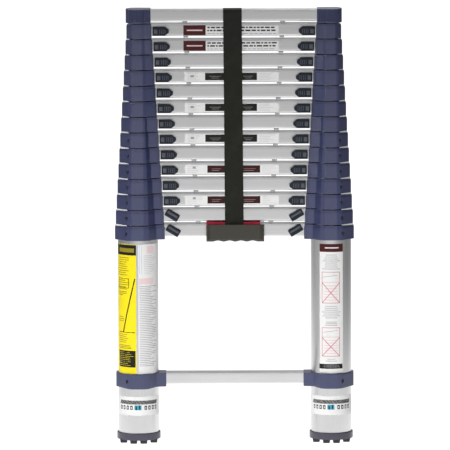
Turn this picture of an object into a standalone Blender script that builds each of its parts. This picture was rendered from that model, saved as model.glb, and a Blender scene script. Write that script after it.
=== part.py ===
"""A telescoping ladder, folded down: a base on two rubber feet, fourteen sections that slide out of it,
a thumb latch at both ends of every rung but the top and the bottom one, a strap and a carrying handle.

Metres, +Z up. The origin is on the floor, midway between the two stiles. -X is the left stile and the
latches face -Y. Levels count upwards: level 0 is the base, level 14 is the top section.
"""

import math

import bmesh
import bpy
from mathutils import Matrix, Vector

# Stiles: each is a nest of tubes, the widest at the bottom.
STILE_SPAN = 0.396
TUBE_RADIUS = 0.0414
RADIUS_STEP = 0.00195
TUBE_WALL = 0.0014
TUBE_LENGTH = 0.390
TUBE_SIDES = 20
TOP_LEVEL = 14
GAP = 0.0003

# Rungs: 0.3048 m apart with the ladder out, and one collar apart with it in.
OPEN_PITCH = 0.3048
FOLDED_PITCH = 0.03175
RUNG_DEPTH = 0.036
RUNG_HEIGHT = 0.0255
RUNG_WALL = 0.002
RUNG_BOTTOM = 0.4262

# Collars: moulded blocks that hold a tube's upper end and a rung's end.
COLLAR_BOTTOM = 0.4207
COLLAR_HEIGHT = 0.0306
COLLAR_REACH = 0.0056
BLOCK_REACH = 0.0139
BLOCK_DEPTH = 0.042
SOCKET_REACH = 0.0047
LIP_HEIGHT = 0.0053
LIP_GAP = 0.0003

# The base's own lower rung, collars and feet.
LOW_COLLAR_BOTTOM = 0.1148
LOW_COLLAR_HEIGHT = 0.0294
LOW_COLLAR_REACH = 0.0046
LOW_BLOCK_REACH = 0.0156
LOW_RUNG_BOTTOM = 0.1208
LOW_RUNG_HEIGHT = 0.0228
FOOT_RADIUS = 0.0447
FOOT_HEIGHT = 0.0214
SOLE_HEIGHT = 0.0068
SOLE_THICKNESS = 0.0047
TREAD_BARS = 4
TREAD_PITCH = 0.0206
TREAD_WIDTH = 0.0155

# The top section's caps and rung.
CAP_HEIGHT = 0.0288
CAP_REACH = 0.0088
CAP_ROOF = 0.0057
TOP_RUNG_BOTTOM = 0.8691
TOP_RUNG_HEIGHT = 0.0230

# Latches: a button on the rung's front, a carriage inside the rung and a round lock pin.
PIN_RADIUS = 0.0040
PIN_SIDES = 12
LATCH_TRAVEL = 0.008
BUTTON_LENGTH = 0.0335
BUTTON_HEIGHT = 0.0175
BUTTON_POINT = 0.008
BUTTON_DROP = 0.0025
BUTTON_THICKNESS = 0.007
BUTTON_REACH = 0.0159
PADDLE_LENGTH = 0.0288
PADDLE_HEIGHT = 0.0152
PADDLE_TILT = math.radians(31)
PADDLE_CENTRE = 0.0312
PADDLE_LEVELS = (0, 1)

# Strap, and the grip with its liner round the base rung.
STRAP_WIDTH = 0.038
STRAP_INNER = 0.0204
STRAP_OUTER = 0.0222
STRAP_LOW_END = 0.430
STRAP_LEAN = -0.0028
GRIP_WIDTH = 0.1185
GRIP_CENTRE = 0.0017
GRIP_INNER = 0.0228
GRIP_OUTER = 0.029
GRIP_BOTTOM = 0.4160
GRIP_TOP = 0.4515
GROOVES = 4
GROOVE_PITCH = 0.0237
GROOVE_RADIUS = 0.0216
GROOVE_DEPTH = 0.0021
LINER_WIDTH = 0.1108
LINER_CENTRE = -0.0020
LINER_INNER = 0.0183
LINER_OUTER = 0.0198
LINER_TOP = 0.4555

# Worked out from the above.
HALF_SPAN = STILE_SPAN / 2
TRAVEL = OPEN_PITCH - FOLDED_PITCH
PIN_HEIGHT = RUNG_BOTTOM + RUNG_HEIGHT / 2
SIDES = {"left": -1, "right": 1}
MARGIN = 0.002


def radius_of(level):
    return TUBE_RADIUS - RADIUS_STEP * level


def lift_of(level):
    return FOLDED_PITCH * level


def across(side, inward):
    """The X of a point that lies inward of one stile's centre line."""
    return side * (HALF_SPAN - inward)


# ---- materials ----

def material(name, colour, roughness, metallic=0.0):
    made = bpy.data.materials.new(name)
    made.use_nodes = True
    shader = made.node_tree.nodes["Principled BSDF"]
    shader.inputs["Base Color"].default_value = (*colour, 1)
    shader.inputs["Roughness"].default_value = roughness
    shader.inputs["Metallic"].default_value = metallic
    return made


# ---- solids ----

def object_from(bm, name="piece"):
    """A scene object holding the bmesh's shape, its faces turned outwards."""
    bmesh.ops.recalc_face_normals(bm, faces=bm.faces)
    mesh = bpy.data.meshes.new(name)
    bm.to_mesh(mesh)
    bm.free()
    made = bpy.data.objects.new(name, mesh)
    bpy.context.scene.collection.objects.link(made)
    return made


def prism(axis, outline, low, high):
    """A flat outline drawn out along X, Y or Z; its points are the other two coordinates, in order."""
    slots = [slot for slot in range(3) if slot != "xyz".index(axis)]
    bm = bmesh.new()
    points = []
    for first, second in outline:
        place = Vector((low, low, low))
        place[slots[0]] = first
        place[slots[1]] = second
        points.append(bm.verts.new(place))
    face = bm.faces.new(points)
    raised = bmesh.ops.extrude_face_region(bm, geom=[face])
    draw = Vector((0, 0, 0))
    draw["xyz".index(axis)] = high - low
    moved = [item for item in raised["geom"] if isinstance(item, bmesh.types.BMVert)]
    bmesh.ops.translate(bm, vec=draw, verts=moved)
    return object_from(bm)


def block(x, y, z):
    """A box from three (low, high) pairs."""
    outline = [(x[0], y[0]), (x[1], y[0]), (x[1], y[1]), (x[0], y[1])]
    return prism("z", outline, z[0], z[1])


def turned(centre_x, profile, sides=TUBE_SIDES):
    """A ring turned about a stile's centre line from (radius, height) points."""
    bm = bmesh.new()
    points = [bm.verts.new((centre_x + radius, 0, height)) for radius, height in profile]
    loop = [bm.edges.new(pair) for pair in zip(points, points[1:] + points[:1])]
    bmesh.ops.spin(
        bm, geom=points + loop, cent=(centre_x, 0, 0), axis=(0, 0, 1),
        angle=2 * math.pi, steps=sides, use_merge=True,
    )
    return object_from(bm)


def tube(centre_x, outer, inner, low, high):
    return turned(centre_x, [(outer, low), (outer, high), (inner, high), (inner, low)])


def rod(radius, centre_x, low, high, sides=TUBE_SIDES):
    """An upright round bar, used to bore a hole."""
    bm = bmesh.new()
    place = Matrix.Translation((centre_x, 0, (low + high) / 2))
    bmesh.ops.create_cone(
        bm, cap_ends=True, segments=sides, radius1=radius, radius2=radius, depth=high - low, matrix=place
    )
    bmesh.ops.rotate(
        bm, verts=bm.verts, cent=(centre_x, 0, 0), matrix=Matrix.Rotation(math.pi / 2, 3, "Z")
    )
    return object_from(bm)


def level_rod(radius, x, height, axis="x", sides=PIN_SIDES):
    """A round bar lying along X, from x[0] to x[1], or along Y with its axis at x[0] and length x[1]."""
    bm = bmesh.new()
    if axis == "x":
        place = Matrix.Translation(((x[0] + x[1]) / 2, 0, height)) @ Matrix.Rotation(math.pi / 2, 4, "Y")
        depth = abs(x[1] - x[0])
    else:
        place = Matrix.Translation((x[0], 0, height)) @ Matrix.Rotation(math.pi / 2, 4, "X")
        depth = x[1]
    bmesh.ops.create_cone(
        bm, cap_ends=True, segments=sides, radius1=radius, radius2=radius, depth=depth, matrix=place
    )
    return object_from(bm)


def combine(body, others, operation):
    """Adds the other solids to the body, or cuts them out of it, and drops them."""
    for other in others:
        step = body.modifiers.new(operation.lower(), "BOOLEAN")
        step.operation = operation
        step.solver = "EXACT"
        step.object = other
    graph = bpy.context.evaluated_depsgraph_get()
    made = bpy.data.meshes.new_from_object(body.evaluated_get(graph))
    body.modifiers.clear()
    body.data = made
    for other in others:
        bpy.data.objects.remove(other)
    return body


def unite(body, *others):
    return combine(body, others, "UNION")


def cut(body, *others):
    return combine(body, others, "DIFFERENCE")


def finish(made, name, look):
    """Names a solid, merges its doubled points, drops needless edges and gives it its material."""
    bm = bmesh.new()
    bm.from_mesh(made.data)
    bmesh.ops.remove_doubles(bm, verts=bm.verts, dist=1e-6)
    bmesh.ops.dissolve_limit(bm, angle_limit=math.radians(0.2), verts=bm.verts, edges=bm.edges)
    bmesh.ops.triangulate(bm, faces=[face for face in bm.faces if len(face.verts) > 4])
    bm.to_mesh(made.data)
    bm.free()
    made.name = name
    made.data.name = name
    made.data.materials.clear()
    made.data.materials.append(look)
    made.data.shade_smooth()
    made.data.set_sharp_from_angle(angle=math.radians(30))
    return made


# ---- the parts of a level ----

def collar_plan(side, radius, reach, block_reach):
    """A collar seen from above: seven flats round the tube, and a block that runs inward to the rung."""
    flat = radius + reach
    face = min(0.012, 0.43 * flat)
    shoulder = max(0.49 * flat, face + 0.0055)
    shoulder_depth = flat - 0.364 * (shoulder - face)
    block_half = BLOCK_DEPTH / 2
    neck_half = block_half + 0.003
    half = [(-flat, -0.32 * flat), (-shoulder, -shoulder_depth), (-face, -flat), (face, -flat),
            (shoulder, -shoulder_depth)]
    clear = radius + MARGIN + 0.0008
    if clear > neck_half:
        neck = math.sqrt(clear ** 2 - neck_half ** 2)
        if neck > shoulder:
            half.append((neck, -neck_half))
    half.append((radius + block_reach, -block_half))
    whole = half + [(inward, -depth) for inward, depth in reversed(half)]
    return [(across(side, inward), depth) for inward, depth in whole]


def rung_bar(half_length, depth, low, high):
    return block((-half_length, half_length), (-depth / 2, depth / 2), (low, high))


def rung_hollow(half_length, depth, low, high):
    inner = depth / 2 - RUNG_WALL
    return block((-half_length, half_length), (-inner, inner), (low + RUNG_WALL, high - RUNG_WALL))


def latch_slot(side, level):
    """The slot in a rung's front wall that a latch's stem slides in."""
    radius = radius_of(level)
    height = PIN_HEIGHT + lift_of(level)
    ends = sorted((across(side, radius + 0.0220), across(side, radius + 0.0435)))
    front = -RUNG_DEPTH / 2
    return block(ends, (front - MARGIN, front + 2 * RUNG_WALL), (height - 0.0031, height + 0.0031))


def pin_hole(side, level, height):
    """A hole through a stile's inner side at the given height."""
    radius = radius_of(level)
    ends = (across(side, radius - 0.012), across(side, radius + 0.008))
    return level_rod(PIN_RADIUS + GAP, ends, height)


def lock_height(level):
    """The height of a section's lock hole, which meets the latch below once the section is out."""
    return PIN_HEIGHT + lift_of(level - 1) - TRAVEL


def section(level):
    """One sliding section: a rung, two collars and two tubes, with its latch slots and lock holes."""
    radius = radius_of(level)
    lift = lift_of(level)
    low = COLLAR_BOTTOM + lift
    rung_low = RUNG_BOTTOM + lift
    rung_high = rung_low + RUNG_HEIGHT
    body = rung_bar(HALF_SPAN - radius - 0.003, RUNG_DEPTH, rung_low, rung_high - 0.0004)
    tube_low = low + COLLAR_HEIGHT - TUBE_LENGTH
    for side in SIDES.values():
        centre = across(side, 0)
        plan = collar_plan(side, radius, COLLAR_REACH, BLOCK_REACH)
        collar = prism("z", plan, low, low + COLLAR_HEIGHT)
        bore = rod(radius - TUBE_WALL - LIP_GAP + 0.00005, centre, low - MARGIN, low + COLLAR_HEIGHT + MARGIN)
        unite(body, cut(collar, bore))
        unite(body, tube(centre, radius, radius - TUBE_WALL, tube_low, low + 0.005))
    hollow_end = HALF_SPAN - radius - 0.005
    cut(body, rung_hollow(hollow_end, RUNG_DEPTH, rung_low, rung_high))
    height = PIN_HEIGHT + lift
    for side in SIDES.values():
        cut(body, latch_slot(side, level))
        cut(body, pin_hole(side, level, height))
        cut(body, pin_hole(side, level, lock_height(level)))
    return body


# ---- latches ----

def latch_solid(tilted):
    """A latch for the left stile. Its origin is on the pin's axis, at the tube's inner side."""
    front = -RUNG_DEPTH / 2 - GAP
    if tilted:
        half_length = PADDLE_LENGTH / 2
        half_height = PADDLE_HEIGHT / 2
        outline = [(-half_length, -half_height), (half_length, -half_height),
                   (half_length, half_height), (-half_length, half_height)]
        turn = Matrix.Rotation(-PADDLE_TILT, 2)
        outline = [turn @ Vector(point) + Vector((PADDLE_CENTRE, 0)) for point in outline]
    else:
        end = BUTTON_REACH + BUTTON_LENGTH
        low = -BUTTON_DROP - BUTTON_HEIGHT / 2
        high = -BUTTON_DROP + BUTTON_HEIGHT / 2
        outline = [(BUTTON_REACH, low), (end - BUTTON_POINT, low), (end, -BUTTON_DROP - 0.003),
                   (end, -BUTTON_DROP + 0.003), (end - BUTTON_POINT, high), (BUTTON_REACH, high)]
    body = prism("y", outline, front - BUTTON_THICKNESS, front)
    stem = block((0.0228, 0.0345), (front - 0.002, -0.013), (-0.0025, 0.0025))
    carriage = block((0.0165, 0.0445), (-0.0141, 0.0141), (-0.0080, 0.0080))
    pin = level_rod(PIN_RADIUS, (-RADIUS_STEP + 0.00035, 0.0180), 0)
    return unite(body, stem, carriage, pin)


def mirrored(made):
    """A copy of a solid for the other stile, with its faces still outwards."""
    bm = bmesh.new()
    bm.from_mesh(made.data)
    bmesh.ops.transform(bm, matrix=Matrix.Diagonal((-1, 1, 1, 1)), verts=bm.verts)
    return object_from(bm)


# ---- base, top and handle ----

def foot(side):
    """A rubber cup for the base tube, over four tread bars that run front to back."""
    centre = across(side, 0)
    body = rod(FOOT_RADIUS, centre, SOLE_HEIGHT, FOOT_HEIGHT, 28)
    cut(body, rod(TUBE_RADIUS + GAP, centre, SOLE_HEIGHT + SOLE_THICKNESS, FOOT_HEIGHT + MARGIN))
    bars = []
    for index in range(TREAD_BARS):
        offset = (index - (TREAD_BARS - 1) / 2) * TREAD_PITCH
        middle = centre + offset
        outer = abs(offset) > TREAD_PITCH
        half = 0.026 if outer else math.sqrt((FOOT_RADIUS - 0.002) ** 2 - offset ** 2)
        outline = [(middle - TREAD_WIDTH / 2 + 0.001, 0), (middle + TREAD_WIDTH / 2 - 0.001, 0),
                   (middle + TREAD_WIDTH / 2, SOLE_HEIGHT + 0.001), (middle - TREAD_WIDTH / 2, SOLE_HEIGHT + 0.001)]
        bars.append(prism("y", outline, -half, half))
    return unite(body, *bars)


def base_collar(side):
    """The collar at the top of the base tube, open above for the rung and lipped for the first section."""
    centre = across(side, 0)
    top = COLLAR_BOTTOM + COLLAR_HEIGHT
    body = prism("z", collar_plan(side, TUBE_RADIUS, COLLAR_REACH, BLOCK_REACH), COLLAR_BOTTOM, top)
    lip_low = top - LIP_HEIGHT
    socket = sorted((across(side, TUBE_RADIUS + SOCKET_REACH), across(side, TUBE_RADIUS + BLOCK_REACH + MARGIN)))
    half_depth = RUNG_DEPTH / 2 + GAP
    return cut(
        body,
        rod(TUBE_RADIUS + GAP, centre, COLLAR_BOTTOM - MARGIN, lip_low),
        rod(radius_of(1) + LIP_GAP, centre, lip_low - MARGIN, top + MARGIN),
        block(socket, (-half_depth, half_depth), (RUNG_BOTTOM - GAP, top + MARGIN)),
        pin_hole(side, 0, PIN_HEIGHT),
    )


def low_collar(side):
    """The collar round the base tube that holds the fixed bottom rung."""
    centre = across(side, 0)
    top = LOW_COLLAR_BOTTOM + LOW_COLLAR_HEIGHT
    plan = collar_plan(side, TUBE_RADIUS, LOW_COLLAR_REACH, LOW_BLOCK_REACH)
    body = prism("z", plan, LOW_COLLAR_BOTTOM, top)
    ends = sorted((across(side, TUBE_RADIUS + SOCKET_REACH), across(side, TUBE_RADIUS + LOW_BLOCK_REACH + MARGIN)))
    half_depth = RUNG_DEPTH / 2 + GAP
    heights = (LOW_RUNG_BOTTOM - GAP, LOW_RUNG_BOTTOM + LOW_RUNG_HEIGHT + GAP)
    return cut(
        body,
        rod(TUBE_RADIUS + GAP, centre, LOW_COLLAR_BOTTOM - MARGIN, top + MARGIN),
        block(ends, (-half_depth, half_depth), heights),
    )


def open_rung(low, height, radius, slots_level=None):
    """A rung that is its own piece: a rectangular tube, open at both ends."""
    half_length = HALF_SPAN - radius - SOCKET_REACH - GAP
    body = rung_bar(half_length, RUNG_DEPTH, low, low + height)
    cut(body, rung_hollow(half_length + MARGIN, RUNG_DEPTH, low, low + height))
    if slots_level is not None:
        cut(body, *[latch_slot(side, slots_level) for side in SIDES.values()])
    return body


def top_cap(side):
    """The closed cap over a top tube, with the top rung's socket in its inner block."""
    radius = radius_of(TOP_LEVEL)
    centre = across(side, 0)
    low = COLLAR_BOTTOM + lift_of(TOP_LEVEL)
    body = prism("z", collar_plan(side, radius, CAP_REACH, BLOCK_REACH), low, low + CAP_HEIGHT)
    ends = sorted((across(side, radius + SOCKET_REACH), across(side, radius + BLOCK_REACH + MARGIN)))
    half_depth = RUNG_DEPTH / 2 + GAP
    heights = (TOP_RUNG_BOTTOM - GAP, TOP_RUNG_BOTTOM + TOP_RUNG_HEIGHT + GAP)
    return cut(
        body,
        rod(radius + GAP, centre, low - MARGIN, low + CAP_HEIGHT - CAP_ROOF),
        block(ends, (-half_depth, half_depth), heights),
    )


def strap():
    """Webbing that hangs over the top rung, both ends tucked between the grip and its liner."""
    inner_top = TOP_RUNG_BOTTOM + TOP_RUNG_HEIGHT + GAP
    thickness = STRAP_OUTER - STRAP_INNER
    bend = 0.003

    def arch(half, top, corner):
        points = [(-half, STRAP_LOW_END)]
        for step in range(4):
            angle = math.pi - step * math.pi / 6
            points.append((-half + corner + corner * math.cos(angle), top - corner + corner * math.sin(angle)))
        return points + [(-depth, height) for depth, height in reversed(points)]

    outline = arch(STRAP_OUTER, inner_top + thickness, bend + thickness)
    outline += reversed(arch(STRAP_INNER, inner_top, bend))
    body = prism("x", outline, -STRAP_WIDTH / 2, STRAP_WIDTH / 2)
    rise = inner_top - STRAP_LOW_END
    for vertex in body.data.vertices:
        vertex.co.x += STRAP_LEAN * (vertex.co.z - STRAP_LOW_END) / rise
    return body


def wrap(inner, outer, low, floor, top, centre, width, bevel):
    """A channel round the front, underside and back of the base rung."""
    outline = [
        (-outer, top), (-outer, low + bevel), (-outer + bevel, low), (outer - bevel, low),
        (outer, low + bevel), (outer, top), (inner, top), (inner, floor), (-inner, floor), (-inner, top),
    ]
    return prism("x", outline, centre - width / 2, centre + width / 2)


def grip():
    """The moulded grip, with four finger grooves along its underside."""
    floor = RUNG_BOTTOM - 0.0021
    body = wrap(GRIP_INNER, GRIP_OUTER, GRIP_BOTTOM, floor, GRIP_TOP, GRIP_CENTRE, GRIP_WIDTH, 0.004)
    grooves = []
    for index in range(GROOVES):
        middle = GRIP_CENTRE + (index - (GROOVES - 1) / 2) * GROOVE_PITCH
        grooves.append(
            level_rod(GROOVE_RADIUS, (middle, 0.08), GRIP_BOTTOM + GROOVE_DEPTH - GROOVE_RADIUS, "y", 24)
        )
    return cut(body, *grooves)


def liner():
    floor = RUNG_BOTTOM - GAP
    low = floor - (LINER_OUTER - LINER_INNER)
    return wrap(LINER_INNER, LINER_OUTER, low, floor, LINER_TOP, LINER_CENTRE, LINER_WIDTH, 0.0008)


# ---- the ladder ----

for leftover in list(bpy.data.objects):
    bpy.data.objects.remove(leftover)

ALUMINIUM = material("aluminium", (0.62, 0.62, 0.62), 0.35, 1.0)
COLLAR_PLASTIC = material("collar_plastic", (0.085, 0.09, 0.15), 0.5)
BUTTON_PLASTIC = material("button_plastic", (0.03, 0.04, 0.06), 0.4)
RUBBER = material("rubber", (0.06, 0.05, 0.07), 0.75)
GRIP_RUBBER = material("grip_rubber", (0.05, 0.045, 0.035), 0.7)
WEBBING = material("webbing", (0.02, 0.02, 0.016), 0.85)
LINER_FABRIC = material("liner_fabric", (0.45, 0.02, 0.05), 0.8)

for word, side in SIDES.items():
    centre = across(side, 0)
    stile = tube(centre, TUBE_RADIUS, TUBE_RADIUS - TUBE_WALL, SOLE_HEIGHT + SOLE_THICKNESS + GAP,
                 COLLAR_BOTTOM + COLLAR_HEIGHT - LIP_HEIGHT - GAP)
    finish(cut(stile, pin_hole(side, 0, PIN_HEIGHT)), f"base_tube_{word}", ALUMINIUM)
    finish(base_collar(side), f"base_collar_{word}", COLLAR_PLASTIC)
    finish(low_collar(side), f"bottom_collar_{word}", COLLAR_PLASTIC)
    finish(foot(side), f"foot_{word}", RUBBER)
    top_radius = radius_of(TOP_LEVEL)
    top_low = COLLAR_BOTTOM + lift_of(TOP_LEVEL) + COLLAR_HEIGHT - TUBE_LENGTH
    top_high = COLLAR_BOTTOM + lift_of(TOP_LEVEL) + CAP_HEIGHT - CAP_ROOF - GAP
    stile = tube(centre, top_radius, top_radius - TUBE_WALL, top_low, top_high)
    finish(cut(stile, pin_hole(side, TOP_LEVEL, lock_height(TOP_LEVEL))), f"top_tube_{word}", ALUMINIUM)
    finish(top_cap(side), f"top_cap_{word}", COLLAR_PLASTIC)

finish(open_rung(RUNG_BOTTOM, RUNG_HEIGHT, TUBE_RADIUS, 0), "base_rung", ALUMINIUM)
finish(open_rung(LOW_RUNG_BOTTOM, LOW_RUNG_HEIGHT, TUBE_RADIUS), "bottom_rung", ALUMINIUM)
finish(open_rung(TOP_RUNG_BOTTOM, TOP_RUNG_HEIGHT, radius_of(TOP_LEVEL)), "top_rung", ALUMINIUM)

for level in range(1, TOP_LEVEL):
    finish(section(level), f"section_{level:02d}", ALUMINIUM)

for tilted in (True, False):
    pattern = latch_solid(tilted)
    shapes = {"left": pattern, "right": mirrored(pattern)}
    for level in range(TOP_LEVEL):
        if (level in PADDLE_LEVELS) != tilted:
            continue
        for word, side in SIDES.items():
            latch = shapes[word].copy()
            latch.data = shapes[word].data.copy()
            bpy.context.scene.collection.objects.link(latch)
            finish(latch, f"latch_{level + 1:02d}_{word}", BUTTON_PLASTIC)
            latch.location = (across(side, radius_of(level)), 0, PIN_HEIGHT + lift_of(level))
    for shape in shapes.values():
        bpy.data.objects.remove(shape)

finish(strap(), "strap", WEBBING)
finish(liner(), "handle_liner", LINER_FABRIC)
finish(grip(), "handle_grip", GRIP_RUBBER)
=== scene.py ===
import math
import random

import bmesh
import bpy
from mathutils import Matrix, Vector


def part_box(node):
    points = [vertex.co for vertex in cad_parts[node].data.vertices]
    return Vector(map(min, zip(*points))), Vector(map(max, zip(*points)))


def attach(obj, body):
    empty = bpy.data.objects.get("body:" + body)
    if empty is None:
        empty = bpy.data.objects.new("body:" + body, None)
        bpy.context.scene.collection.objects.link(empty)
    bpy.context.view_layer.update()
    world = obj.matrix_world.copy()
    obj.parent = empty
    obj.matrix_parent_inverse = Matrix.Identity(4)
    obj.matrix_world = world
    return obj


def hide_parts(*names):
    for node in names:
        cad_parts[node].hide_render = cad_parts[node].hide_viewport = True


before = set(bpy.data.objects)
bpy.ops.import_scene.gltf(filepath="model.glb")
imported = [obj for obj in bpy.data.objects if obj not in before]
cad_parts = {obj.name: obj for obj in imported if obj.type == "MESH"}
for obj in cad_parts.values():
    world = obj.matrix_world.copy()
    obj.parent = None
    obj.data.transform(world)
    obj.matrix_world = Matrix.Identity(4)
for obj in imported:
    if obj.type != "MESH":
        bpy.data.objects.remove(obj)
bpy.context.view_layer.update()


# ---- Camera, lights and floor ----
# A studio shot, almost level with the ladder's middle. The room is white. A narrow key light from the
# front left, which the metal does not mirror, fills the fronts; side and rim lights pick out the edges.

AIM = Vector((-0.0193, 0.0, 0.4475))
CAMERA_DISTANCE = 14.0
CAMERA_ELEVATION = math.radians(7.2)
CAMERA_ROLL = math.radians(-0.2)
PICTURE_WIDTH = 0.9221
FRONT_DEPTH = 0.02

camera = bpy.data.objects.new("camera", bpy.data.cameras.new("camera"))
bpy.context.scene.collection.objects.link(camera)
camera.data.lens = camera.data.sensor_width * (CAMERA_DISTANCE - FRONT_DEPTH) / PICTURE_WIDTH
back = Vector((0, -math.cos(CAMERA_ELEVATION), math.sin(CAMERA_ELEVATION)))
camera.location = AIM + back * CAMERA_DISTANCE
facing = back.to_track_quat("Z", "Y").to_matrix().to_4x4()
camera.rotation_euler = (facing @ Matrix.Rotation(CAMERA_ROLL, 4, "Z")).to_euler()
bpy.context.scene.camera = camera
bpy.context.scene.view_settings.view_transform = "Standard"


def area_light(name, place, target, size, power, spread=180, in_metal=True):
    """A round lamp; in_metal says whether the metal mirrors it."""
    lamp = bpy.data.lights.new(name, "AREA")
    lamp.shape = "DISK"
    lamp.size = size
    lamp.energy = power
    lamp.spread = math.radians(spread)
    holder = bpy.data.objects.new(name, lamp)
    bpy.context.scene.collection.objects.link(holder)
    holder.visible_glossy = in_metal
    holder.location = place
    holder.rotation_euler = (Vector(place) - Vector(target)).to_track_quat("Z", "Y").to_euler()


area_light("key_light", (-0.9, -3.4, 0.5), (0, 0, 0.18), 0.9, 2.9, 34, False)
area_light("side_light", (-2.4, -1.5, 1.5), (0, 0, 0.35), 0.5, 6)
area_light("rim_light", (0.4, 2.2, 2.8), (0, 0, 0.6), 1.4, 22)

ROOM_HORIZON = (0.15, 0.15, 0.155, 1)
ROOM_WALL = (0.24, 0.24, 0.245, 1)
ROOM_CEILING = (0.50, 0.50, 0.51, 1)
FRONT_SHARE = 0.30
LEFT_SHARE = 1.30
RIGHT_SHARE = 0.20
BACKDROP = 1.3


def add_node(tree, kind, inputs=None, **settings):
    """A shader node. Each input takes a value, or a socket to be linked to it."""
    node = tree.nodes.new("ShaderNode" + kind)
    for word, value in settings.items():
        setattr(node, word, value)
    for word, value in (inputs or {}).items():
        if isinstance(value, bpy.types.NodeSocket):
            tree.links.new(value, node.inputs[word])
        else:
            node.inputs[word].default_value = value
    return node


def ramp_node(tree, value, low, high, start, end):
    """Maps a value smoothly from one range to another."""
    ends = {"From Min": low, "From Max": high, "To Min": start, "To Max": end}
    made = add_node(tree, "MapRange", {"Value": value, **ends}, interpolation_type="SMOOTHSTEP")
    return made.outputs["Result"]


def arithmetic(tree, operation, first, second):
    """A math node on two sockets or numbers."""
    return add_node(tree, "Math", {0: first, 1: second}, operation=operation).outputs["Value"]


# The camera sees the room as plain white. What the metal reflects is darker at eye level than
# overhead, and brighter on the left.
room = bpy.data.worlds.new("white_room")
bpy.context.scene.world = room
room.use_nodes = True
tree = room.node_tree
tree.nodes.clear()
direction = add_node(tree, "TexCoord").outputs["Generated"]
split = add_node(tree, "SeparateXYZ", {"Vector": direction})
bands = add_node(tree, "ValToRGB", {"Fac": split.outputs["Z"]})
bands.color_ramp.elements[0].position = 0.0
bands.color_ramp.elements[0].color = ROOM_HORIZON
bands.color_ramp.elements[1].position = 0.25
bands.color_ramp.elements[1].color = ROOM_WALL
bands.color_ramp.elements.new(0.70).color = ROOM_CEILING
sideways = ramp_node(tree, split.outputs["X"], -1, 1, LEFT_SHARE, RIGHT_SHARE)
forward = ramp_node(tree, split.outputs["Y"], -1, -0.3, FRONT_SHARE, 1)
behind = ramp_node(tree, split.outputs["Y"], 0.86, 0.97, 0, BACKDROP)
strength = arithmetic(tree, "ADD", arithmetic(tree, "MULTIPLY", sideways, forward), behind)
lit = add_node(tree, "Background", {"Color": bands.outputs["Color"], "Strength": strength})
seen = add_node(tree, "Background", {"Color": (1, 1, 1, 1)})
seen_directly = add_node(tree, "LightPath").outputs["Is Camera Ray"]
choose = add_node(tree, "MixShader", {"Fac": seen_directly, 1: lit.outputs[0], 2: seen.outputs[0]})
add_node(tree, "OutputWorld", {"Surface": choose.outputs["Shader"]})

# The floor is plain white to the camera too. It lights the ladder from a pool round its feet
# and from a strip that runs out to the front.
FLOOR_DIM = 0.20
FLOOR_BRIGHT = 0.95

floor_mesh = bmesh.new()
bmesh.ops.create_grid(floor_mesh, x_segments=1, y_segments=1, size=15)
floor = bpy.data.objects.new("floor", bpy.data.meshes.new("floor"))
floor_mesh.to_mesh(floor.data)
floor_mesh.free()
bpy.context.scene.collection.objects.link(floor)
floor_look = bpy.data.materials.new("floor_white")
floor_look.use_nodes = True
tree = floor_look.node_tree
tree.nodes.clear()
place = add_node(tree, "TexCoord").outputs["Object"]
split = add_node(tree, "SeparateXYZ", {"Vector": place})
far = add_node(tree, "VectorMath", {0: place}, operation="LENGTH")
pool = ramp_node(tree, far.outputs["Value"], 0.15, 1.4, 0.90, 0)
ahead = ramp_node(tree, split.outputs["Y"], -10.0, -3.4, 0.12, 1)
beside = ramp_node(tree, arithmetic(tree, "ABSOLUTE", split.outputs["X"], 0), 0.6, 2.1, 1, 0)
strip = arithmetic(tree, "MULTIPLY", ahead, beside)
bright = arithmetic(tree, "MAXIMUM", pool, strip)
strength = arithmetic(tree, "ADD", FLOOR_DIM, arithmetic(tree, "MULTIPLY", FLOOR_BRIGHT, bright))
seen_directly = add_node(tree, "LightPath").outputs["Is Camera Ray"]
strength = arithmetic(tree, "MAXIMUM", strength, seen_directly)
glow = add_node(tree, "Emission", {"Strength": strength})
add_node(tree, "OutputMaterial", {"Surface": glow.outputs["Emission"]})
floor.data.materials.append(floor_look)


# ---- Base stiles ----
# The two widest tubes carry everything else. They are extruded aluminium with a satin mill finish:
# fine streaks run along the extrusion, and hands leave faint duller patches.

STILES = {"left": -1, "right": 1}
base_low, base_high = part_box("base_tube_right")
STILE_X = (base_low.x + base_high.x) / 2
BASE_RADIUS = (base_high.x - base_low.x) / 2
TUBE_WALL = 0.0014
ROUND_STEPS = 96


def effect_group(name, inputs, outputs):
    """An empty shader node group with named float or vector inputs and outputs."""
    group = bpy.data.node_groups.new(name, "ShaderNodeTree")
    for word, kind, value in inputs:
        socket = group.interface.new_socket(word, in_out="INPUT", socket_type=kind)
        socket.default_value = value
    for word, kind in outputs:
        group.interface.new_socket(word, in_out="OUTPUT", socket_type=kind)
    return group, group.nodes.new("NodeGroupInput"), group.nodes.new("NodeGroupOutput")


def streak_group():
    """Fine lines drawn out along one axis, as an extrusion die leaves them."""
    group, given, result = effect_group(
        "extrusion_streaks",
        [("Stretch", "NodeSocketVector", (600, 600, 4))],
        [("Streak", "NodeSocketFloat")],
    )
    place = add_node(group, "TexCoord").outputs["Object"]
    scaled = add_node(group, "VectorMath", {0: place, 1: given.outputs["Stretch"]}, operation="MULTIPLY")
    along = {"Vector": scaled.outputs["Vector"], "Scale": 1, "Detail": 4, "Roughness": 0.65}
    noise = add_node(group, "TexNoise", along)
    group.links.new(noise.outputs["Fac"], result.inputs["Streak"])
    return group


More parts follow.
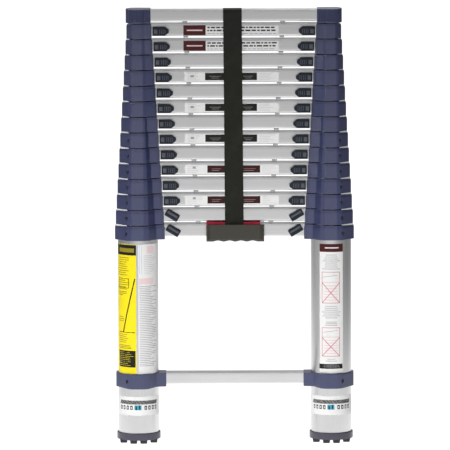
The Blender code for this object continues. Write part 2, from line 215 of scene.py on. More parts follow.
def smudge_group():
    """Soft cloudy patches, from 0 to 1, for hand marks, dust and uneven gloss."""
    group, given, result = effect_group(
        "handling_marks",
        [("Scale", "NodeSocketFloat", 20.0), ("Cover", "NodeSocketFloat", 0.5)],
        [("Mark", "NodeSocketFloat")],
    )
    place = add_node(group, "TexCoord").outputs["Object"]
    cloud = {"Vector": place, "Scale": given.outputs["Scale"], "Detail": 6, "Roughness": 0.6}
    noise = add_node(group, "TexNoise", cloud)
    lowest = arithmetic(group, "SUBTRACT", 0.85, given.outputs["Cover"])
    mark = ramp_node(group, noise.outputs["Fac"], lowest, 0.9, 0, 1)
    group.links.new(mark, result.inputs["Mark"])
    return group


STREAKS = streak_group()
MARKS = smudge_group()


def blank_material(name, roughness, metallic=0.0):
    made = bpy.data.materials.new(name)
    made.use_nodes = True
    shader = made.node_tree.nodes["Principled BSDF"]
    shader.inputs["Roughness"].default_value = roughness
    shader.inputs["Metallic"].default_value = metallic
    return made, shader


def place_group(made, group, **values):
    """Puts an effect group into a material, with its own values."""
    return add_node(made.node_tree, "Group", values, node_tree=group)


def between(made, factor, low, high):
    """A value that runs from low to high with a factor socket."""
    ends = {"Value": factor, "To Min": low, "To Max": high}
    return add_node(made.node_tree, "MapRange", ends).outputs["Result"]


def tint(made, factor, low, high):
    """A colour that runs from low, itself a colour or a socket, to high with a factor socket."""
    start = low if isinstance(low, bpy.types.NodeSocket) else (*low, 1)
    ends = {"A": start, "B": (*high, 1), "Factor": factor}
    return add_node(made.node_tree, "Mix", ends, data_type="RGBA").outputs["Result"]


def relief(made, shader, height, strength, distance):
    """Bumps the surface by a height socket."""
    bump = {"Strength": strength, "Distance": distance, "Height": height}
    node = add_node(made.node_tree, "Bump", bump)
    made.node_tree.links.new(node.outputs["Normal"], shader.inputs["Normal"])


def aluminium(name, stretch, low, high):
    """Satin extruded aluminium; stretch says which way its streaks run."""
    made, shader = blank_material(name, 0.34, 1.0)
    streak = place_group(made, STREAKS, Stretch=stretch).outputs["Streak"]
    mark = place_group(made, MARKS, Scale=9.0, Cover=0.42).outputs["Mark"]
    links = made.node_tree.links
    links.new(tint(made, streak, low, high), shader.inputs["Base Color"])
    fine, broad = between(made, streak, 0.24, 0.42), between(made, mark, 0.0, 0.10)
    links.new(arithmetic(made.node_tree, "ADD", fine, broad), shader.inputs["Roughness"])
    relief(made, shader, streak, 0.12, 0.0002)
    return made


STILE_METAL = aluminium("satin_stile", (420, 420, 3), (0.66, 0.66, 0.67), (0.86, 0.86, 0.86))


def piece(bm, name, body, looks, replaced=(), sharp=32, keep_normals=False):
    """Turns a bmesh into a piece of the ladder that moves with its body."""
    bmesh.ops.remove_doubles(bm, verts=bm.verts, dist=1e-6)
    if not keep_normals:
        bmesh.ops.recalc_face_normals(bm, faces=bm.faces)
    mesh = bpy.data.meshes.new(name)
    bm.to_mesh(mesh)
    bm.free()
    mesh.shade_smooth()
    mesh.set_sharp_from_angle(angle=math.radians(sharp))
    for look in looks:
        mesh.materials.append(look)
    made = bpy.data.objects.new(name, mesh)
    bpy.context.scene.collection.objects.link(made)
    weight = made.modifiers.new("flat_faces_first", "WEIGHTED_NORMAL")
    weight.keep_sharp = True
    graph = bpy.context.evaluated_depsgraph_get()
    made.data = bpy.data.meshes.new_from_object(made.evaluated_get(graph))
    made.modifiers.clear()
    bpy.data.meshes.remove(mesh)
    made.data.name = name
    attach(made, body)
    if replaced:
        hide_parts(*replaced)
    return made


def turned(bm, centre_x, profile, steps=ROUND_STEPS):
    """A ring turned about a stile's centre line, from (radius, height) points in order round its wall."""
    points = [bm.verts.new((centre_x + radius, 0, height)) for radius, height in profile]
    edges = [bm.edges.new(pair) for pair in zip(points, points[1:] + points[:1])]
    bmesh.ops.spin(
        bm, geom=points + edges, cent=(centre_x, 0, 0), axis=(0, 0, 1),
        angle=2 * math.pi, steps=steps, use_merge=True,
    )


def pipe_profile(radius, wall, low, high, chamfer=0.0003):
    inner = radius - wall
    return [
        (radius, low + chamfer), (radius, high - chamfer), (radius - chamfer, high), (inner + chamfer, high),
        (inner, high - chamfer), (inner, low + chamfer), (inner + chamfer, low), (radius - chamfer, low),
    ]


def bar(radius, start, end, steps=32, cone=1.0):
    """A closed round bar between two points, used for pins, screws and to cut holes."""
    bm = bmesh.new()
    line = Vector(end) - Vector(start)
    turn = line.to_track_quat("Z", "Y").to_matrix().to_4x4()
    place = Matrix.Translation((Vector(start) + Vector(end)) / 2) @ turn
    bmesh.ops.create_cone(
        bm, cap_ends=True, segments=steps, radius1=radius, radius2=radius * cone,
        depth=line.length, matrix=place,
    )
    return bm


def cut(bm, *cutters):
    """Takes each cutter's shape out of a solid, and gives the solid back."""
    body = bpy.data.objects.new("solid", bpy.data.meshes.new("solid"))
    bpy.context.scene.collection.objects.link(body)
    bmesh.ops.recalc_face_normals(bm, faces=bm.faces)
    bm.to_mesh(body.data)
    tools = []
    for cutter in cutters:
        tool = bpy.data.objects.new("cutter", bpy.data.meshes.new("cutter"))
        bpy.context.scene.collection.objects.link(tool)
        bmesh.ops.recalc_face_normals(cutter, faces=cutter.faces)
        cutter.to_mesh(tool.data)
        cutter.free()
        step = body.modifiers.new("cut", "BOOLEAN")
        step.operation = "DIFFERENCE"
        step.solver = "EXACT"
        step.object = tool
        tools.append(tool)
    graph = bpy.context.evaluated_depsgraph_get()
    result = body.evaluated_get(graph).to_mesh()
    bm.clear()
    bm.from_mesh(result)
    for leftover in [body] + tools:
        bpy.data.objects.remove(leftover)
    return bm


for word, side in STILES.items():
    low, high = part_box(f"base_tube_{word}")
    centre_x = side * STILE_X
    bm = bmesh.new()
    turned(bm, centre_x, pipe_profile(BASE_RADIUS, TUBE_WALL, low.z, high.z))
    piece(bm, f"base_stile_{word}", "base", [STILE_METAL], [f"base_tube_{word}"])


# ---- Sliding tubes ----
# Each section's two tubes run down inside the section below. A lock hole near the lower end takes the
# latch pin once the section is out, and a dark nylon bush on the end keeps the tube centred.

COLLAR_REACH = 0.0056
TOP_LEVEL = 14
LOCK_HOLE_RADIUS = 0.0043
LOCK_HOLE_RISE = 0.07285
BUSH_HEIGHT = 0.009
TUBE_SEAT = 0.0256


def level_radius(level):
    """The tube radius of a level, read from the frame."""
    if level == 0:
        return BASE_RADIUS
    if level == TOP_LEVEL:
        low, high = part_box("top_tube_right")
        return (high.x - low.x) / 2
    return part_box(f"section_{level:02d}")[1].x - STILE_X - COLLAR_REACH


def level_nodes(level, word):
    """The CAD nodes that a level's tube on one side stands for."""
    return [f"top_tube_{word}"] if level == TOP_LEVEL else [f"section_{level:02d}"]


def mottled(name, scale, cover, low, high, roughness, metallic=0.0):
    """A material that marks of one scale mottle from a low colour to a high one."""
    made, shader = blank_material(name, roughness, metallic)
    mark = place_group(made, MARKS, Scale=scale, Cover=cover).outputs["Mark"]
    made.node_tree.links.new(tint(made, mark, low, high), shader.inputs["Base Color"])
    return made, shader, mark


BUSH_NYLON = mottled("bush_nylon", 60.0, 0.4, (0.03, 0.03, 0.035), (0.07, 0.07, 0.08), 0.5)[0]

for level in range(1, TOP_LEVEL + 1):
    radius = level_radius(level)
    body = f"section_{level:02d}"
    for word, side in STILES.items():
        node = level_nodes(level, word)
        low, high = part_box(node[0])
        centre_x = side * STILE_X
        tube_top = high.z if level == TOP_LEVEL else high.z - TUBE_SEAT
        bm = bmesh.new()
        turned(bm, centre_x, pipe_profile(radius, TUBE_WALL, low.z, tube_top), 64)
        lock_height = low.z + LOCK_HOLE_RISE
        inward = (centre_x - side * (radius - 0.006), 0, lock_height)
        hole = bar(LOCK_HOLE_RADIUS, inward, (centre_x - side * (radius + 0.006), 0, lock_height), 24)
        piece(cut(bm, hole), f"tube_{level:02d}_{word}", body, [STILE_METAL], node)
        bm = bmesh.new()
        inner = radius - TUBE_WALL
        turned(bm, centre_x, [
            (inner - 0.00005, low.z + 0.0002), (inner - 0.00005, low.z + BUSH_HEIGHT),
            (inner - 0.00035, low.z + BUSH_HEIGHT), (inner - 0.00035, low.z + 0.0002),
        ], 48)
        piece(bm, f"tube_bush_{level:02d}_{word}", body, [BUSH_NYLON])


# ---- Collars ----
# A moulded nylon collar, faceted in plan, holds the top of each tube and the end of its rung. Screws sit in
# tall recesses where its front and back turn outward. A pale pad under its outer side paints the bright line
# between collars.

FACE_SHARE = 0.43
FACE_MOST = 0.012
SHOULDER_SHARE = 0.49
SHOULDER_LEAST = 0.0055
SHOULDER_SLOPE = 0.364
SIDE_SHARE = 0.32
NECK_GAP = 0.0028
NECK_DEPTH = 0.003
BLOCK_REACH = 0.0139
BLOCK_DEPTH = 0.042
BAND_HEIGHT = 0.0052
BAND_STEP = 0.0010
SLIM_LEVEL = 10
COLLAR_HEIGHT = 0.0306
RIM_BEVEL = 0.0007
CORNER_ROUNDING = 0.0016
TOP_EASE = 0.0005
INNER_EASE = 0.0004
OUTER_EASE = 0.0024
SCREW_RADIUS = 0.0030
SCREW_DEPTH = 0.0060
SCREW_LINE = 0.0145
LATCH_LINE = 0.01825
SOCKET_START = 0.0047
SOCKET_HALF = 0.0182
SOCKET_FLOOR = 0.0052
SEAM_INSET = 0.0050
SEAM_HALF = 0.0006
PAST = 0.002


def moulded(name, low, high, worn, shine=0.5):
    """Nylon with a fine spark-eroded skin; cloudy patches are rubbed slightly paler."""
    made, shader = blank_material(name, 0.36)
    shader.inputs["Specular IOR Level"].default_value = shine
    links = made.node_tree.links
    place = add_node(made.node_tree, "TexCoord").outputs["Object"]
    noise = add_node(made.node_tree, "TexNoise", {"Vector": place, "Scale": 900, "Detail": 2})
    skin = noise.outputs["Fac"]
    mark = place_group(made, MARKS, Scale=26.0, Cover=0.40).outputs["Mark"]
    base = tint(made, between(made, mark, 0.0, 0.5), tint(made, skin, low, high), worn)
    links.new(base, shader.inputs["Base Color"])
    links.new(between(made, mark, 0.30, 0.50), shader.inputs["Roughness"])
    relief(made, shader, skin, 0.18, 0.00015)
    return made


COLLAR_NYLON = moulded("blue_nylon", (0.031, 0.038, 0.100), (0.043, 0.050, 0.125), (0.062, 0.068, 0.14), 0.85)
SCREW_STEEL = mottled("blackened_screw", 300.0, 0.45, (0.04, 0.04, 0.045), (0.16, 0.16, 0.17), 0.38, 0.9)[0]


def face_of(flat):
    """Half the width of a collar's front face; flat is how far the collar reaches from the tube's centre."""
    return min(FACE_MOST, FACE_SHARE * flat)


def shoulder_of(flat):
    """How far to each side of the tube's centre the facets next to the front face reach."""
    return max(SHOULDER_SHARE * flat, face_of(flat) + SHOULDER_LEAST)


def shoulder_depth(flat):
    return SHOULDER_SLOPE * (shoulder_of(flat) - face_of(flat)) - flat


def collar_plan(side, radius, reach, block_reach):
    """A collar from above: flats round the tube, and a block towards the rung."""
    flat = radius + reach
    face = face_of(flat)
    shoulder = shoulder_of(flat)
    half = [(-flat, -SIDE_SHARE * flat), (-shoulder, shoulder_depth(flat)), (-face, -flat), (face, -flat),
            (shoulder, min(shoulder_depth(flat), -BLOCK_DEPTH / 2))]
    clear = radius + NECK_GAP
    neck_half = BLOCK_DEPTH / 2 + NECK_DEPTH
    if clear > neck_half:
        neck = math.sqrt(clear ** 2 - neck_half ** 2)
        if neck > shoulder:
            half.append((neck, -neck_half))
    half.append((radius + block_reach, -BLOCK_DEPTH / 2))
    whole = half + [(inward, -depth) for inward, depth in reversed(half)]
    return [(side * (STILE_X - inward), depth) for inward, depth in whole]


def box_solid(x, y, z):
    """A box from three pairs of ends."""
    bm = bmesh.new()
    bmesh.ops.create_cube(bm, size=1)
    size = Vector((abs(x[1] - x[0]), abs(y[1] - y[0]), abs(z[1] - z[0])))
    middle = Vector(((x[0] + x[1]) / 2, (y[0] + y[1]) / 2, (z[0] + z[1]) / 2))
    bmesh.ops.transform(bm, matrix=Matrix.Translation(middle) @ Matrix.Diagonal((*size, 1)), verts=bm.verts)
    return bm


def draw_faces(bm, faces, move):
    """Extrudes faces by a vector, and gives back the ones at the far end."""
    made = bmesh.ops.extrude_face_region(bm, geom=faces)["geom"]
    bmesh.ops.translate(bm, vec=move, verts=[item for item in made if isinstance(item, bmesh.types.BMVert)])
    return [item for item in made if isinstance(item, bmesh.types.BMFace)]


def raise_faces(bm, faces, distance, axis=2):
    """Draws faces of a solid out along one axis, and gives back the moved ones."""
    move = Vector((0, 0, 0))
    move[axis] = distance
    moved = draw_faces(bm, faces, move)
    bmesh.ops.delete(bm, geom=faces, context="FACES_KEEP_BOUNDARY")
    return moved


def rim_edges(bm, height, axis=2):
    """The edges that lie wholly in one plane across an axis."""
    return [
        edge for edge in bm.edges
        if all(abs(vert.co[axis] - height) < 1e-6 for vert in edge.verts)
    ]


def bevel_edges(bm, edges, offset, segments=2):
    bmesh.ops.bevel(
        bm, geom=edges, offset=offset, segments=segments, profile=0.5, affect="EDGES", material=-1
    )


def plan_solid(plan, low, high, rounding, band=0, step=0):
    """A moulded block: a rounded outline drawn up, its top band stepped in if it has one."""
    bm = bmesh.new()
    bm.faces.new([bm.verts.new((x, y, low)) for x, y in plan])
    bmesh.ops.bevel(
        bm, geom=bm.verts[:], offset=rounding, segments=4, profile=0.5, affect="VERTICES", material=-1
    )
    top = draw_faces(bm, bm.faces[:], (0, 0, high - low - band))
    if band:
        bmesh.ops.inset_region(bm, faces=top, thickness=step, use_even_offset=True)
        top = raise_faces(bm, top, band)
    bmesh.ops.recalc_face_normals(bm, faces=bm.faces)
    bevel_edges(bm, rim_edges(bm, high) + rim_edges(bm, low), RIM_BEVEL)
    return bm


def screw_holes(side, radius, reach, height):
    """The tall recesses where a collar's front and back turn outward, and where each screw sits."""
    flat = radius + reach
    x = side * (STILE_X + shoulder_of(flat) + 0.0008)
    cutters = []
    seats = []
    for way in (-1, 1):
        face_y = -way * shoulder_depth(flat)
        floor_y = face_y - way * SCREW_DEPTH
        recess = bar(SCREW_RADIUS, (x, face_y + way * 0.004, height), (x, floor_y, height), 20)
        bmesh.ops.scale(
            recess, vec=(0.9, 1, 1.6), verts=recess.verts, space=Matrix.Translation((-x, 0, -height))
        )
        cutters.append(recess)
        seats.append((x, floor_y, way))
    return cutters, seats


def screw_head(x, y, way, height, name, body):
    """A small pan head with a cross recess, at the bottom of its hole."""
    head = bar(SCREW_RADIUS * 0.9, (x, y - way * 0.0004, height), (x, y + way * 0.0008, height), 20, 0.8)
    depth = (y + way * 0.0003, y + way * 0.002)
    slots = [
        box_solid((x - wide, x + wide), depth, (height - tall, height + tall))
        for wide, tall in ((0.0013, 0.0003), (0.0003, 0.0013))
    ]
    piece(cut(head, *slots), name, body, [SCREW_STEEL])


def ease_outer_edge(bm, side, flat, high):
    """Slopes the top down where a collar turns outward, so that light shows between the collars."""
    for vert in bm.verts:
        out = side * vert.co.x - STILE_X - shoulder_of(flat)
        if out > 0 and vert.co.z > high - BAND_HEIGHT / 2:
            vert.co.z -= INNER_EASE + (OUTER_EASE - INNER_EASE) * out / (flat - shoulder_of(flat))


RUNG_DEPTH = 0.036
SCREWED_LEVELS = range(0, 7)

for level in range(0, TOP_LEVEL):
    radius = level_radius(level)
    body = "base" if level == 0 else f"section_{level:02d}"
    for word, side in STILES.items():
        node = f"base_collar_{word}" if level == 0 else f"section_{level:02d}"
        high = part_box(node)[1].z
        low = high - COLLAR_HEIGHT
        centre_x = side * STILE_X
        plan = collar_plan(side, radius, COLLAR_REACH, BLOCK_REACH)
        step = BAND_STEP if level < SLIM_LEVEL else BAND_STEP / 2
        bm = plan_solid(plan, low, high - TOP_EASE, CORNER_ROUNDING, BAND_HEIGHT, step)
        ease_outer_edge(bm, side, radius + COLLAR_REACH, high)
        lip = radius - TUBE_WALL - 0.00025
        cutters = [bar(lip, (centre_x, 0, low - PAST), (centre_x, 0, high + PAST), 64)]
        if level == 0:
            cutters.append(bar(radius + 0.0002, (centre_x, 0, low - PAST), (centre_x, 0, high - 0.0053), 64))
        socket = (side * (STILE_X - radius - SOCKET_START), side * (STILE_X - radius - BLOCK_REACH - PAST))
        cutters.append(box_solid(socket, (-SOCKET_HALF, SOCKET_HALF), (low + SOCKET_FLOOR, high + PAST)))
        hole_end = (side * (STILE_X - radius + 0.008), 0, low + LATCH_LINE)
        cutters.append(bar(LOCK_HOLE_RADIUS, hole_end, (socket[1], 0, low + LATCH_LINE), 24))
        seam = side * (STILE_X - radius - BLOCK_REACH + SEAM_INSET)
        for way in (-1, 1):
            ends = (way * (BLOCK_DEPTH / 2 - 0.0010), way * (BLOCK_DEPTH / 2 + PAST))
            cutters.append(box_solid((seam - SEAM_HALF, seam + SEAM_HALF), ends, (low - PAST, high + PAST)))
        if level in SCREWED_LEVELS:
            screw_height = low + SCREW_LINE
            holes, seats = screw_holes(side, radius, COLLAR_REACH, screw_height)
            cutters += holes
            for x, y, way in seats:
                place = "front" if way < 0 else "back"
                screw_head(x, y, way, screw_height, f"collar_screw_{level:02d}_{word}_{place}", body)
        piece(cut(bm, *cutters), f"collar_{level:02d}_{word}", body, [COLLAR_NYLON], [node])


# Painted light: a pale pad in the gap under each collar's outer side stands in for the bright line seen
# between the collars.
PAINTED_GAP_LIGHT_THICKNESS = 0.0012
PAINTED_GAP_LIGHT_NYLON = moulded("painted_gap_light_nylon", (0.74, 0.74, 0.73), (0.80, 0.80, 0.79), (0.66, 0.66, 0.64))

for level in range(1, TOP_LEVEL):
    radius = level_radius(level)
    flat = radius + COLLAR_REACH - 0.0002
    shoulder = shoulder_of(flat)
    for word, side in STILES.items():
        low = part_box(f"section_{level:02d}")[1].z - COLLAR_HEIGHT
        bm = bmesh.new()
        outline = [(-flat, -SIDE_SHARE * flat), (-shoulder, shoulder_depth(flat)),
                   (-shoulder, -shoulder_depth(flat)), (-flat, SIDE_SHARE * flat)]
        bm.faces.new([bm.verts.new((side * (STILE_X - inward), depth, low)) for inward, depth in outline])
        made = bmesh.ops.extrude_face_region(bm, geom=bm.faces[:])
        for item in made["geom"]:
            if isinstance(item, bmesh.types.BMVert):
                out = side * item.co.x - STILE_X - shoulder
                item.co.z -= PAINTED_GAP_LIGHT_THICKNESS + INNER_EASE + (OUTER_EASE - INNER_EASE) * out / (flat - shoulder)
        bore = bar(radius + 0.0003, (side * STILE_X, 0, low - 0.01), (side * STILE_X, 0, low + 0.01), 64)
        body = f"section_{level:02d}"
        piece(cut(bm, bore), f"painted_gap_light_pad_{level:02d}_{word}", body, [PAINTED_GAP_LIGHT_NYLON])

LOW_COLLAR_REACH = 0.0046
LOW_BLOCK_REACH = 0.0156
LOW_ROUNDING = 0.0024

for word, side in STILES.items():
    node = f"bottom_collar_{word}"
    low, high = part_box(node)
    centre_x = side * STILE_X
    plan = collar_plan(side, BASE_RADIUS, LOW_COLLAR_REACH, LOW_BLOCK_REACH)
    bm = plan_solid(plan, low.z, high.z, LOW_ROUNDING)
    flat = BASE_RADIUS + LOW_COLLAR_REACH
    for vert in bm.verts:
        if vert.co.z < low.z + 0.002:
            vert.co.z += 0.0018 - 0.0031 * (vert.co.y / flat) ** 2
    rung_low, rung_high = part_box("bottom_rung")
    socket = (side * (STILE_X - BASE_RADIUS - SOCKET_START), side * (STILE_X - BASE_RADIUS - 0.020))
    screw_height = (low.z + high.z) / 2
    holes, seats = screw_holes(side, BASE_RADIUS, LOW_COLLAR_REACH, screw_height)
    for x, y, way in seats:
        place = "front" if way < 0 else "back"
        screw_head(x, y, way, screw_height, f"bottom_collar_screw_{word}_{place}", "base")
    cut(
        bm,
        bar(BASE_RADIUS + 0.0002, (centre_x, 0, low.z - PAST), (centre_x, 0, high.z + PAST), 64),
        box_solid(socket, (-SOCKET_HALF, SOCKET_HALF), (rung_low.z - 0.0002, rung_high.z + 0.0002)),
        *holes,
    )
    piece(bm, f"lower_collar_{word}", "base", [COLLAR_NYLON], [node])


# ---- Top caps ----
# The highest collar is closed above, with fine upright flutes moulded down its front and back.

CAP_REACH = 0.0088
FLUTE_PITCH = 0.0037
FLUTE_RADIUS = 0.0013


def cap_depth(inward, flat, radius):
    """The depth of a cap's front face at a point inward of the tube's centre."""
    face = face_of(flat)
    shoulder = shoulder_of(flat)
    outline = [(-flat, -SIDE_SHARE * flat), (-shoulder, shoulder_depth(flat)), (-face, -flat),
               (face, -flat), (shoulder, shoulder_depth(flat)), (radius + BLOCK_REACH, -BLOCK_DEPTH / 2)]
    for (start, deep), (end, next_deep) in zip(outline, outline[1:]):
        if start <= inward <= end:
            return deep + (next_deep - deep) * (inward - start) / (end - start)
    return -BLOCK_DEPTH / 2


for word, side in STILES.items():
    node = f"top_cap_{word}"
    low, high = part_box(node)
    radius = level_radius(TOP_LEVEL)
    centre_x = side * STILE_X
    flat = radius + CAP_REACH
    plan = collar_plan(side, radius, CAP_REACH, BLOCK_REACH)
    bm = plan_solid(plan, low.z, high.z, CORNER_ROUNDING)
    cutters = [bar(radius + 0.0002, (centre_x, 0, low.z - PAST), (centre_x, 0, high.z - 0.0057), 64)]
    rung_low, rung_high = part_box("top_rung")
    socket = (side * (STILE_X - radius - SOCKET_START), side * (STILE_X - radius - 0.018))
    ends = (rung_low.z - 0.0002, rung_high.z + 0.0002)
    cutters.append(box_solid(socket, (-SOCKET_HALF, SOCKET_HALF), ends))
    for index in range(-5, 9):
        inward = index * FLUTE_PITCH
        depth = flat if abs(inward) < 0.0098 else -cap_depth(inward, flat, radius)
        for way in (-1, 1):
            place = (side * (STILE_X - inward), way * depth)
            cutters.append(bar(FLUTE_RADIUS, (*place, low.z + 0.003), (*place, high.z - 0.003), 12))
    piece(cut(bm, *cutters), f"end_cap_{word}", "section_14", [COLLAR_NYLON], [node])


# ---- Rungs ----
# Hollow aluminium extrusions. The tread above is ribbed against slipping, a fine groove runs under its
# front edge, and a slot near each end lets the latch's stem through.

RUNG_METAL = aluminium("satin_rung", (3, 420, 420), (0.70, 0.70, 0.71), (0.88, 0.88, 0.88))
RUNG_WALL = 0.002
TREAD_RIBS = 8
TREAD_PITCH = 0.0036


def rung_outline(depth, low, high):
    """A rung's end shape as (y, z) points: ribbed tread, grooved upper edges, rounded lower corners."""
    half = depth / 2
    points = []
    for step in range(5):
        angle = math.pi + step * math.pi / 8
        points.append((-half + 0.003 + 0.003 * math.cos(angle), low + 0.003 + 0.003 * math.sin(angle)))
    points += [(-y, z) for y, z in reversed(points)]
    points += [(half, high - 0.0027), (half - 0.0008, high - 0.0024), (half - 0.0008, high - 0.0016),
               (half, high - 0.0013), (half, high - 0.0006), (half - 0.0006, high)]
    for rib in range(TREAD_RIBS):
        middle = ((TREAD_RIBS - 1) / 2 - rib) * TREAD_PITCH
        points += [(middle + 0.0007, high), (middle + 0.0004, high - 0.0006),
                   (middle - 0.0004, high - 0.0006), (middle - 0.0007, high)]
    points += [(-half + 0.0006, high), (-half, high - 0.0006), (-half, high - 0.0013),
               (-half + 0.0008, high - 0.0016), (-half + 0.0008, high - 0.0024), (-half, high - 0.0027)]
    return points


def rung_solid(depth, low, high, half_length):
    """The extrusion: its outline drawn out along X, with its hollow cut through."""
    bm = bmesh.new()
    end = bm.faces.new([bm.verts.new((-half_length, y, z)) for y, z in rung_outline(depth, low, high)])
    draw_faces(bm, [end], (2 * half_length, 0, 0))
    inner = depth / 2 - RUNG_WALL
    ends = (-half_length - 0.002, half_length + 0.002)
    return cut(bm, box_solid(ends, (-inner, inner), (low + RUNG_WALL, high - RUNG_WALL)))


def slot_cutter(side, radius, height):
    """A cutter for the slot that the latch's stem slides in."""
    near = side * (STILE_X - radius - 0.0220)
    far = side * (STILE_X - radius - 0.0435)
    front = -RUNG_DEPTH / 2
    return box_solid((near, far), (front - 0.002, front + 0.004), (height - 0.0031, height + 0.0031))


RUNG_HEIGHT = 0.0251
RUNG_GAP = 0.005
rung_heights = {}

for level in range(0, TOP_LEVEL + 1):
    body = "base" if level == 0 else f"section_{level:02d}"
    radius = level_radius(level)
    half_length = STILE_X - radius - RUNG_GAP
    node = {0: "base_rung", TOP_LEVEL: "top_rung"}.get(level, body)
    low, high = (corner.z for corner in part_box(node))
    if node == body:
        low = high - RUNG_HEIGHT
    rung_heights[level] = (low, high)
    bm = rung_solid(RUNG_DEPTH, low, high, half_length)
    if level < TOP_LEVEL:
        middle = (low + high) / 2
        cut(bm, slot_cutter(-1, radius, middle), slot_cutter(1, radius, middle))
    piece(bm, f"rung_{level:02d}", body, [RUNG_METAL], [node])

low, high = (corner.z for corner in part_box("bottom_rung"))
bm = rung_solid(RUNG_DEPTH, low, high, STILE_X - BASE_RADIUS - RUNG_GAP)
piece(bm, "rung_foot", "base", [RUNG_METAL], ["bottom_rung"])


# ---- Rung bumpers ----
# Two soft buttons under each sliding rung land on the rung below and keep fingers' room between them.

BUMPER_INSET = 0.070
BUMPER_SIZE = (0.010, 0.012, 0.0032)
BUMPER_RUBBER = mottled("bumper_rubber", 120.0, 0.45, (0.42, 0.42, 0.43), (0.55, 0.55, 0.56), 0.55)[0]

for level in range(1, TOP_LEVEL + 1):
    low, high = rung_heights[level]
    for word, side in STILES.items():
        x = side * (STILE_X - level_radius(level) - BLOCK_REACH - BUMPER_INSET)
        y = -RUNG_DEPTH / 2 + 0.0075
        wide, deep, tall = BUMPER_SIZE
        bm = box_solid((x - wide / 2, x + wide / 2), (y - deep / 2, y + deep / 2), (low - tall, low + 0.0004))
        bevel_edges(bm, bm.edges[:], 0.0012, 3)
        piece(bm, f"bumper_{level:02d}_{word}", f"section_{level:02d}", [BUMPER_RUBBER])


# ---- Latches ----
# A thumb button on the rung's front carries a stem into the rung, where a carriage holds the lock pin.
# The twelve upper pairs are arrow shaped; the two lowest are tilted paddles with a ridge to push on.

BUTTON_REACH = 0.0159
BUTTON_LENGTH = 0.0335
BUTTON_HEIGHT = 0.0175
BUTTON_POINT = 0.008
BUTTON_DROP = 0.0025
BUTTON_THICKNESS = 0.007
RUNG_CLEARANCE = 0.0003
PADDLE_LEVELS = 2
PADDLE_LENGTH = 0.0288
PADDLE_HEIGHT = 0.0152
PADDLE_TILT = math.radians(31)
PADDLE_CENTRE = 0.0312
BUTTON_NYLON = moulded(
    "button_nylon", (0.009, 0.013, 0.022), (0.016, 0.021, 0.032), (0.040, 0.048, 0.060), 0.3
)
# A paler copy of the button nylon: painted highlight on the thumb pads, ribs and paddle ridges.
BUTTON_HIGHLIGHT_NYLON = moulded("button_painted_highlight", (0.060, 0.066, 0.086), (0.085, 0.092, 0.112), (0.12, 0.13, 0.15))
PIN_STEEL = aluminium("pin_steel", (3, 500, 500), (0.40, 0.40, 0.41), (0.55, 0.55, 0.56))


def plate(outline, front, thickness, rounding):
    """A flat plate facing -Y from (x, z) points, with rounded corners."""
    bm = bmesh.new()
    bm.faces.new([bm.verts.new((x, front, z)) for x, z in outline])
    bmesh.ops.bevel(
        bm, geom=bm.verts[:], offset=rounding, segments=3, profile=0.5, affect="VERTICES", material=-1
    )
    draw_faces(bm, bm.faces[:], (0, -thickness, 0))
    bmesh.ops.recalc_face_normals(bm, faces=bm.faces)
    return bm


def join_meshes(bm, *others):
    """Adds closed shapes to a bmesh."""
    for other in others:
        mesh = bpy.data.meshes.new("part")
        other.to_mesh(mesh)
        other.free()
        bm.from_mesh(mesh)
        bpy.data.meshes.remove(mesh)
    return bm


def arrow_button():
    """The button, pointing inward, with a sunk face and a raised thumb pad at its outer end."""
    end = BUTTON_REACH + BUTTON_LENGTH
    low = -BUTTON_DROP - BUTTON_HEIGHT / 2
    high = -BUTTON_DROP + BUTTON_HEIGHT / 2
    outline = [(BUTTON_REACH, low), (end - BUTTON_POINT, low), (end, -BUTTON_DROP - 0.0025),
               (end, -BUTTON_DROP + 0.0025), (end - BUTTON_POINT, high), (BUTTON_REACH, high)]
    front = -RUNG_DEPTH / 2 - RUNG_CLEARANCE
    skin = front - BUTTON_THICKNESS
    bm = plate(outline, front, BUTTON_THICKNESS, 0.0011)
    bevel_edges(bm, rim_edges(bm, skin, 1), 0.0009, 3)
    top = [item for item in bm.faces if item.normal.y < -0.99 and item.calc_area() > 1e-4]
    bmesh.ops.inset_region(bm, faces=top, thickness=0.0016, use_even_offset=True)
    sunk = [item for item in bm.faces if item.normal.y < -0.99 and item.calc_area() > 1e-4]
    raise_faces(bm, sunk, 0.0009, 1)
    pad = box_solid((BUTTON_REACH + 0.0028, BUTTON_REACH + 0.0098),
                    (skin + 0.0002, skin + 0.002),
                    (-BUTTON_DROP - 0.0045, -BUTTON_DROP + 0.0045))
    bevel_edges(pad, pad.edges[:], 0.0006, 2)
    # The pad and the ribs take the paler nylon: painted highlight.
    for item in pad.faces:
        item.material_index = 1
    ribs = []
    for index in range(4):
        x = BUTTON_REACH + 0.0140 + index * 0.0036
        rib = box_solid((x, x + 0.0014), (skin + 0.0003, skin + 0.002),
                        (-BUTTON_DROP - 0.0048, -BUTTON_DROP + 0.0048))
        bevel_edges(rib, rib.edges[:], 0.0004, 2)
        for item in rib.faces:
            item.material_index = 1
        ribs.append(rib)
    return join_meshes(bm, pad, *ribs)


